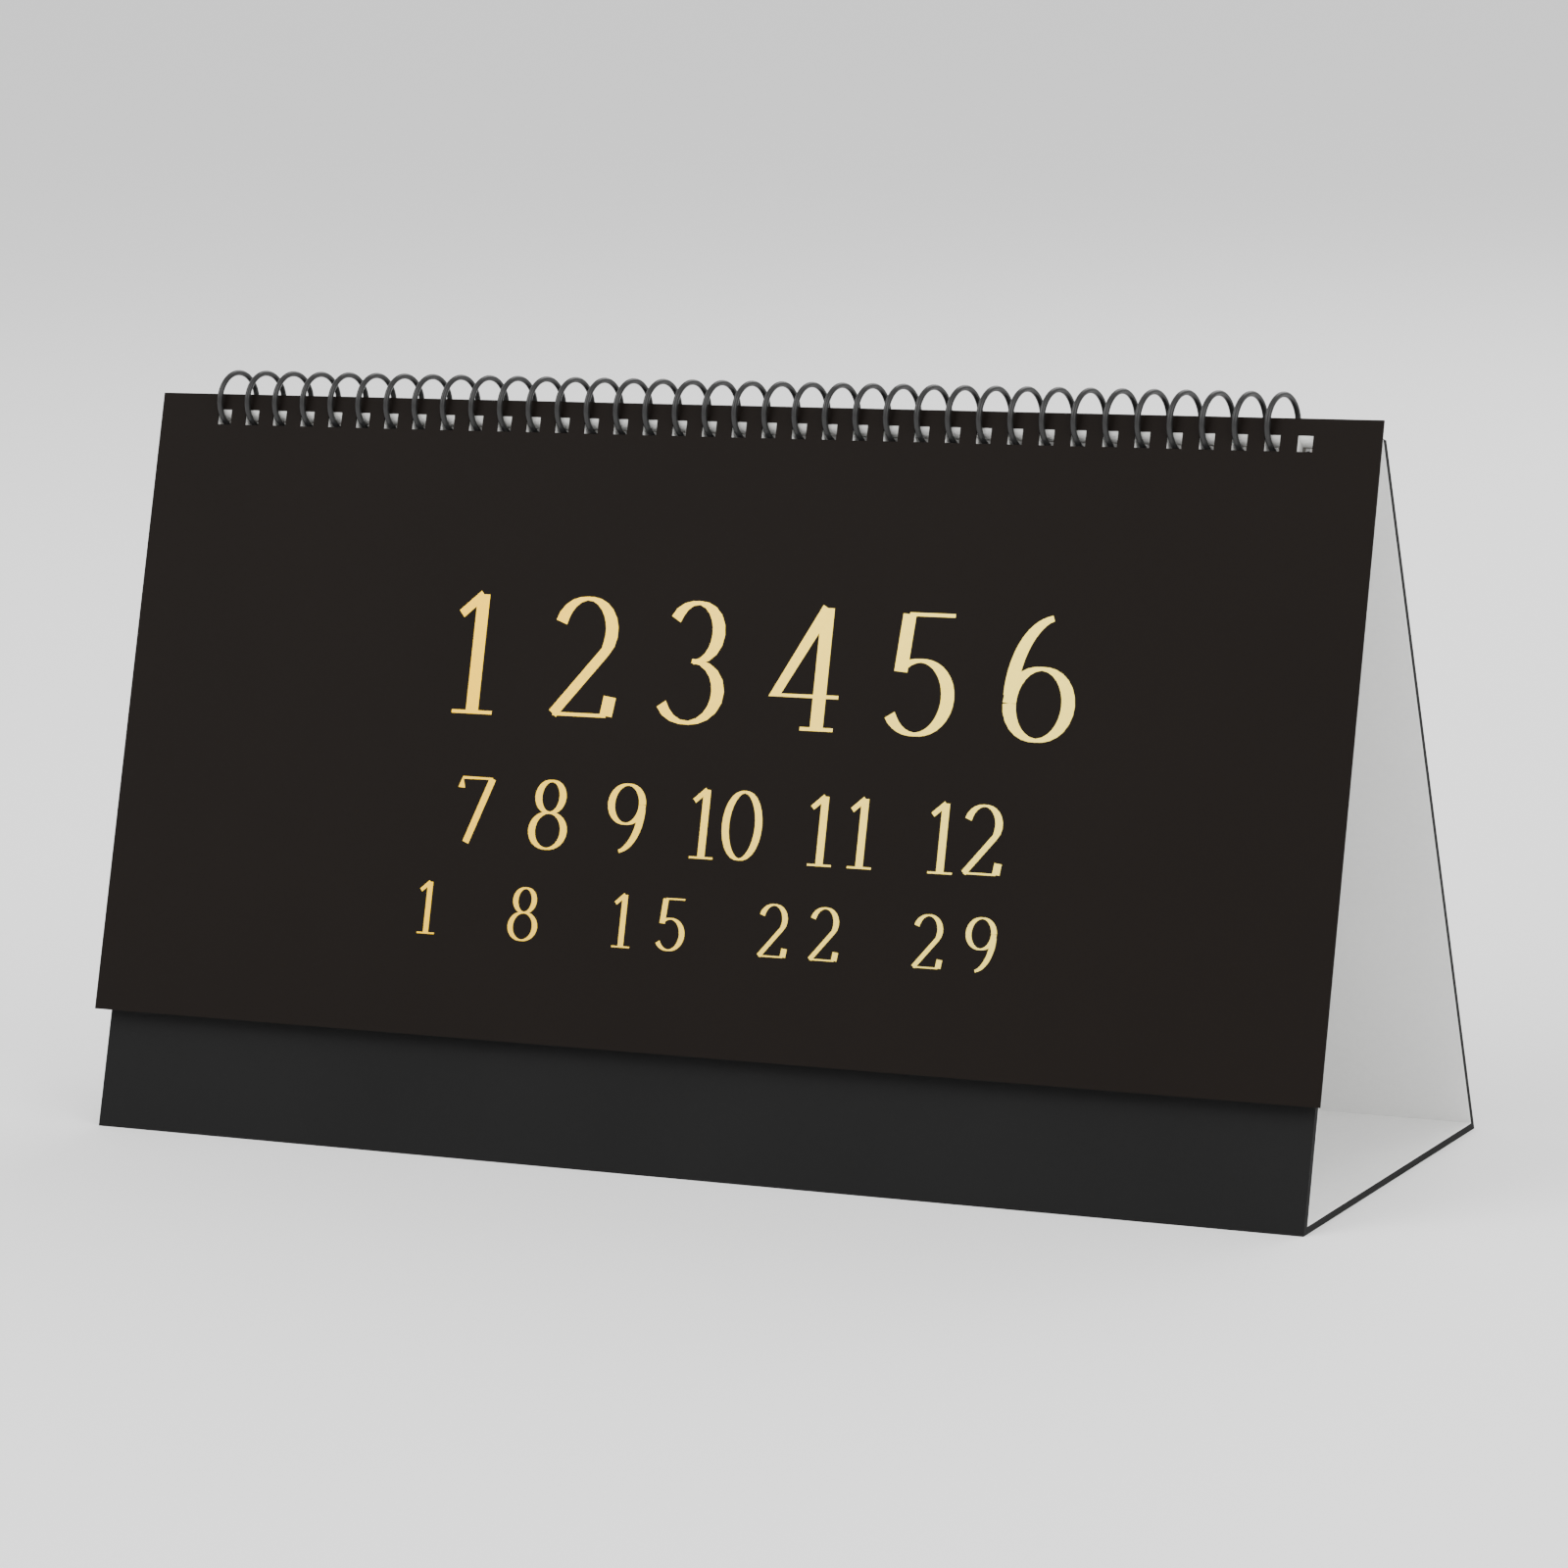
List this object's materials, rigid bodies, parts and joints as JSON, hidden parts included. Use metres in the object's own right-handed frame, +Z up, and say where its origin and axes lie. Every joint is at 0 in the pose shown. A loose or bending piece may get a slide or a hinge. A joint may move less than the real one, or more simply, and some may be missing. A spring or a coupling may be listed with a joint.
{
  "type": "flip desk calendar",
  "caption": "Tent-shaped desk calendar stand with a wire spiral along its top edge that carries a cover and a stack of month sheets.",
  "frame": {"origin": "on the table, under the middle of the stand", "axes": "+X along the width, -Y towards the reader's side with the sheets, +Z up"},
  "size_m": [0.258, 0.087, 0.1446],
  "materials": {
    "greyboard": "matt",
    "black_wrap": "matt",
    "white_liner": "matt",
    "black_wire": "satin",
    "cover_black": "matt",
    "gold_foil": "satin",
    "month_paper": "matt"
  },
  "bodies": {
    "stand": {"front_board": "greyboard", "front_wrap": "black_wrap", "front_liner": "white_liner", "back_board": "greyboard", "back_wrap": "black_wrap", "back_liner": "white_liner", "base_board": "greyboard", "base_wrap": "black_wrap", "base_liner": "white_liner", "spiral_coil": "black_wire"},
    "cover": {"cover_sheet": "cover_black"},
    "month_01": {"month_01": "month_paper"},
    "month_02": {"month_02": "month_paper"},
    "month_03": {"month_03": "month_paper"},
    "month_04": {"month_04": "month_paper"},
    "month_05": {"month_05": "month_paper"},
    "month_06": {"month_06": "month_paper"},
    "month_07": {"month_07": "month_paper"},
    "month_08": {"month_08": "month_paper"},
    "month_09": {"month_09": "month_paper"},
    "month_10": {"month_10": "month_paper"},
    "month_11": {"month_11": "month_paper"},
    "month_12": {"month_12": "month_paper"},
    "month_13": {"month_13": "month_paper"},
    "month_14": {"month_14": "month_paper"},
    "month_15": {"month_15": "month_paper"},
    "month_16": {"month_16": "month_paper"},
    "month_17": {"month_17": "month_paper"},
    "month_18": {"month_18": "month_paper"}
  },
  "joints": [
    {"name": "cover_flip", "type": "hinge", "parent": "stand", "child": "cover", "pos_m": [0, 0, 0.13848], "axis": [-1, 0, 0], "range_deg": [0, 200]},
    {"name": "month_01_flip", "type": "hinge", "parent": "stand", "child": "month_01", "pos_m": [0, 0, 0.13848], "axis": [-1, 0, 0], "range_deg": [0, 196.5]},
    {"name": "month_02_flip", "type": "hinge", "parent": "stand", "child": "month_02", "pos_m": [0, 0, 0.13848], "axis": [-1, 0, 0], "range_deg": [0, 192.5]},
    {"name": "month_03_flip", "type": "hinge", "parent": "stand", "child": "month_03", "pos_m": [0, 0, 0.13848], "axis": [-1, 0, 0], "range_deg": [0, 188.5]},
    {"name": "month_04_flip", "type": "hinge", "parent": "stand", "child": "month_04", "pos_m": [0, 0, 0.13848], "axis": [-1, 0, 0], "range_deg": [0, 184.5]},
    {"name": "month_05_flip", "type": "hinge", "parent": "stand", "child": "month_05", "pos_m": [0, 0, 0.13848], "axis": [-1, 0, 0], "range_deg": [0, 180.5]},
    {"name": "month_06_flip", "type": "hinge", "parent": "stand", "child": "month_06", "pos_m": [0, 0, 0.13848], "axis": [-1, 0, 0], "range_deg": [0, 176.5]},
    {"name": "month_07_flip", "type": "hinge", "parent": "stand", "child": "month_07", "pos_m": [0, 0, 0.13848], "axis": [-1, 0, 0], "range_deg": [0, 172.5]},
    {"name": "month_08_flip", "type": "hinge", "parent": "stand", "child": "month_08", "pos_m": [0, 0, 0.13848], "axis": [-1, 0, 0], "range_deg": [0, 168.5]},
    {"name": "month_09_flip", "type": "hinge", "parent": "stand", "child": "month_09", "pos_m": [0, 0, 0.13848], "axis": [-1, 0, 0], "range_deg": [0, 164.5]},
    {"name": "month_10_flip", "type": "hinge", "parent": "stand", "child": "month_10", "pos_m": [0, 0, 0.13848], "axis": [-1, 0, 0], "range_deg": [0, 160.5]},
    {"name": "month_11_flip", "type": "hinge", "parent": "stand", "child": "month_11", "pos_m": [0, 0, 0.13848], "axis": [-1, 0, 0], "range_deg": [0, 156.5]},
    {"name": "month_12_flip", "type": "hinge", "parent": "stand", "child": "month_12", "pos_m": [0, 0, 0.13848], "axis": [-1, 0, 0], "range_deg": [0, 152.5]},
    {"name": "month_13_flip", "type": "hinge", "parent": "stand", "child": "month_13", "pos_m": [0, 0, 0.13848], "axis": [-1, 0, 0], "range_deg": [0, 148.5]},
    {"name": "month_14_flip", "type": "hinge", "parent": "stand", "child": "month_14", "pos_m": [0, 0, 0.13848], "axis": [-1, 0, 0], "range_deg": [0, 144.5]},
    {"name": "month_15_flip", "type": "hinge", "parent": "stand", "child": "month_15", "pos_m": [0, 0, 0.13848], "axis": [-1, 0, 0], "range_deg": [0, 140.5]},
    {"name": "month_16_flip", "type": "hinge", "parent": "stand", "child": "month_16", "pos_m": [0, 0, 0.13848], "axis": [-1, 0, 0], "range_deg": [0, 136.5]},
    {"name": "month_17_flip", "type": "hinge", "parent": "stand", "child": "month_17", "pos_m": [0, 0, 0.13848], "axis": [-1, 0, 0], "range_deg": [0, 132.5]},
    {"name": "month_18_flip", "type": "hinge", "parent": "stand", "child": "month_18", "pos_m": [0, 0, 0.13848], "axis": [-1, 0, 0], "range_deg": [0, 128.5]}
  ],
  "couplings": [
    {"joint": "month_01_flip", "follows": "cover_flip", "ratio": 0.98},
    {"joint": "month_02_flip", "follows": "cover_flip", "ratio": 0.96},
    {"joint": "month_03_flip", "follows": "cover_flip", "ratio": 0.94},
    {"joint": "month_04_flip", "follows": "cover_flip", "ratio": 0.92},
    {"joint": "month_05_flip", "follows": "cover_flip", "ratio": 0.9},
    {"joint": "month_06_flip", "follows": "cover_flip", "ratio": 0.88},
    {"joint": "month_07_flip", "follows": "cover_flip", "ratio": 0.86},
    {"joint": "month_08_flip", "follows": "cover_flip", "ratio": 0.84},
    {"joint": "month_09_flip", "follows": "cover_flip", "ratio": 0.82},
    {"joint": "month_10_flip", "follows": "cover_flip", "ratio": 0.8},
    {"joint": "month_11_flip", "follows": "cover_flip", "ratio": 0.78},
    {"joint": "month_12_flip", "follows": "cover_flip", "ratio": 0.76},
    {"joint": "month_13_flip", "follows": "cover_flip", "ratio": 0.74},
    {"joint": "month_14_flip", "follows": "cover_flip", "ratio": 0.72},
    {"joint": "month_15_flip", "follows": "cover_flip", "ratio": 0.7},
    {"joint": "month_16_flip", "follows": "cover_flip", "ratio": 0.68},
    {"joint": "month_17_flip", "follows": "cover_flip", "ratio": 0.66},
    {"joint": "month_18_flip", "follows": "cover_flip", "ratio": 0.64}
  ]
}
